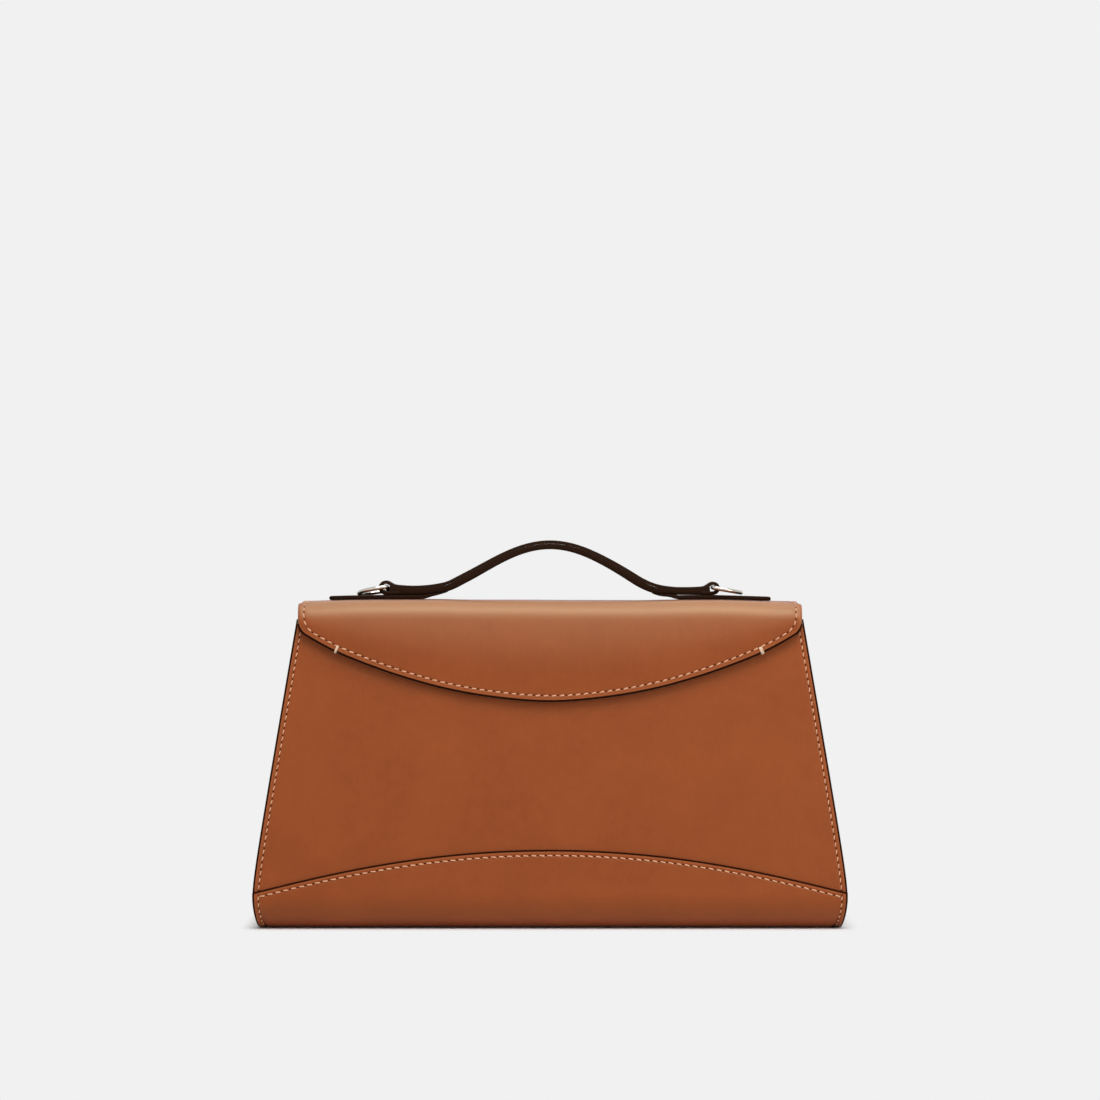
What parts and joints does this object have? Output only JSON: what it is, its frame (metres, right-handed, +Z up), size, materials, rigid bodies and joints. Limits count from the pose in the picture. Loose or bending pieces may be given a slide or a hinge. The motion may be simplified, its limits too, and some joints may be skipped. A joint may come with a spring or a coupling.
{
  "type": "clutch bag",
  "caption": "Structured leather clutch bag: tapering body with a wrap-under base, a curved fold-over flap and an arched top handle held at D rings.",
  "frame": {"origin": "middle of the bag's width and depth, at the underside of the base, where the bag stands", "axes": "+X to the right seen from the front, +Y towards the back, +Z up; the flap closes on the front, which faces -Y"},
  "size_m": [0.2848, 0.084, 0.1861],
  "materials": {
    "tan_leather": "satin",
    "dark_leather": "satin",
    "suede_lining": "matte",
    "board": "matte",
    "magnet_steel": "satin",
    "polished_nickel": "polished"
  },
  "bodies": {
    "bag_body": {"front_panel": "tan_leather", "back_panel": "tan_leather", "base_panel": "tan_leather", "gusset_left": "tan_leather", "gusset_right": "tan_leather", "flap_tail": "tan_leather", "base_board": "board", "front_board": "board", "back_board": "board", "body_lining": "suede_lining", "gusset_lining_left": "suede_lining", "gusset_lining_right": "suede_lining", "slip_pocket": "tan_leather", "body_magnet_left": "magnet_steel", "body_magnet_right": "magnet_steel"},
    "flap": {"flap_outer": "tan_leather", "flap_lining": "suede_lining", "flap_top_board": "board", "flap_front_board": "board", "flap_magnet_left": "magnet_steel", "flap_magnet_right": "magnet_steel", "handle_strap": "dark_leather", "handle_core": "board", "handle_lining": "dark_leather", "handle_tab_left": "dark_leather", "handle_tab_right": "dark_leather"},
    "left_ring": {"ring_left": "polished_nickel"},
    "right_ring": {"ring_right": "polished_nickel"}
  },
  "joints": [
    {"name": "flap_hinge", "type": "hinge", "parent": "bag_body", "child": "flap", "pos_m": [0, 0.023, 0.1573], "axis": [-1, 0, 0], "range_deg": [0, 170]},
    {"name": "ring_left_swing", "type": "hinge", "parent": "flap", "child": "left_ring", "pos_m": [-0.0792, 0, 0.16315], "axis": [0, 1, 0], "range_deg": [0, 172]},
    {"name": "ring_right_swing", "type": "hinge", "parent": "flap", "child": "right_ring", "pos_m": [0.0792, 0, 0.16315], "axis": [0, -1, 0], "range_deg": [0, 172]}
  ]
}
